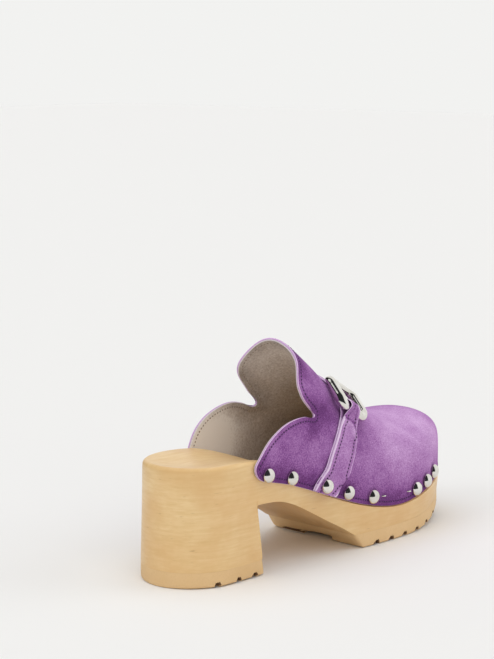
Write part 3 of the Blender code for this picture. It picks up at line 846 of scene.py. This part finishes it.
staple_bm = bmesh.new()
for side in ("lateral", "medial"):
    for number, share in STAPLE_PLACES:
        start = stud_middle(side, number)
        run = stud_middle(side, number + 1) - start
        spot, facing = outer_sheet.find_nearest(start + run * share - Vector((0, 0, STAPLE_DROP)))[:2]
        along = (run - facing * run.dot(facing)).normalized()
        ring = bmesh.ops.create_circle(staple_bm, segments=8, radius=STAPLE_WIRE)["verts"]
        bmesh.ops.translate(staple_bm, verts=ring, vec=(STAPLE_RADIUS, 0, 0))
        bmesh.ops.spin(
            staple_bm,
            geom=list({edge for vert in ring for edge in vert.link_edges}),
            cent=(0, 0, 0),
            axis=(0, 1, 0),
            angle=-math.pi,
            steps=12,
            use_duplicate=False,
        )
        wire = list({vert for vert in staple_bm.verts if not vert.tag})
        turn = Matrix((along, facing.cross(along), facing)).transposed().to_4x4()
        bmesh.ops.transform(
            staple_bm,
            verts=wire,
            matrix=Matrix.Translation(spot - facing * STAPLE_SINK) @ turn,
        )
        for vert in wire:
            vert.tag = True
bmesh.ops.recalc_face_normals(staple_bm, faces=staple_bm.faces)
staples = make_piece("staples", staple_bm, nickel)
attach(staples, "root")

# Studio: a plain pale floor under soft light from above and the sides, and the camera.
# The metal mirrors a dark room with one bright side and one lamp.
FLOOR_SIZE = 12
FLOOR_DROP = Vector((0, 0, -0.2)) * MM
CAMERA_PLACE = (-0.92226, -0.74218, 0.31344)
CAMERA_YAW = math.radians(49.559)
CAMERA_PITCH = math.radians(-8.574)
FOCAL_PIXELS = 1928.17
IMAGE_HEIGHT = 659
SENSOR = 36
BRIGHT_PARTS = (((0.95, -0.15, 0.1), 0.26, 0.36), ((-0.2, 0.35, 0.92), 0.972, 0.982))
ROOM_LIGHT = (0.42, 0.42, 0.42, 1)
DARK_SIDE = (0.025, 0.025, 0.028, 1)
BRIGHT_SIDE = (0.95, 0.95, 0.93, 1)
BACKDROP = (0.888, 0.888, 0.874, 1)

floor_bm = bmesh.new()
bmesh.ops.create_grid(floor_bm, x_segments=1, y_segments=1, size=FLOOR_SIZE / 2)
bmesh.ops.translate(floor_bm, verts=floor_bm.verts, vec=FLOOR_DROP)
floor_material, _, floor_shader = new_material("pale floor")
floor_shader.inputs["Base Color"].default_value = (0.905, 0.9, 0.886, 1)
floor_shader.inputs["Roughness"].default_value = 1
floor_shader.inputs["Specular IOR Level"].default_value = 0
floor = make_piece("floor", floor_bm, floor_material)

camera_data = bpy.data.cameras.new("camera")
camera_data.sensor_width = SENSOR
camera_data.lens = FOCAL_PIXELS * SENSOR / IMAGE_HEIGHT
camera = bpy.data.objects.new("camera", camera_data)
camera.location = CAMERA_PLACE
camera.rotation_euler = (math.pi / 2 + CAMERA_PITCH, 0, -CAMERA_YAW)
bpy.context.scene.collection.objects.link(camera)
bpy.context.scene.camera = camera

world = bpy.data.worlds.new("studio")
world.use_nodes = True
bpy.context.scene.world = world
sky = world.node_tree
direction = add_node(sky, "TexCoord").outputs["Generated"]
path = add_node(sky, "LightPath").outputs
mirrored_parts = []
for source, start, end in BRIGHT_PARTS:
    values = {0: direction, 1: Vector(source).normalized()}
    facing = add_node(sky, "VectorMath", values, operation="DOT_PRODUCT").outputs["Value"]
    mirrored_parts.append(add_ramp(sky, facing, (start, (0, 0, 0, 1)), (end, (1, 1, 1, 1))))
bright = add_math(sky, "MAXIMUM", *mirrored_parts)
mirrored = add_mix(sky, bright, DARK_SIDE, BRIGHT_SIDE)
room = add_mix(sky, path["Is Glossy Ray"], ROOM_LIGHT, mirrored)
seen = add_mix(sky, path["Is Camera Ray"], room, BACKDROP)
sky.links.new(seen, sky.nodes["Background"].inputs["Color"])


def add_soft_light(name, source, strength, spread):
    """Broad soft light from the direction of its source, left out of the metal's reflections."""
    light = bpy.data.lights.new(name, "SUN")
    light.energy = strength
    light.angle = math.radians(spread)
    soft = bpy.data.objects.new(name, light)
    soft.rotation_euler = Vector(source).to_track_quat("Z", "Y").to_euler()
    soft.visible_glossy = False
    bpy.context.scene.collection.objects.link(soft)


add_soft_light("overhead light", (-0.1, 0.1, 1), 1.08, 70)
add_soft_light("front light", (-0.5, -0.75, 0.55), 0.5, 50)
add_soft_light("left light", (-0.95, 0.2, 0.7), 0.36, 24)
add_soft_light("right light", (0.72, -0.66, 0.5), 0.46, 44)
bpy.context.scene.view_settings.view_transform = "Standard"
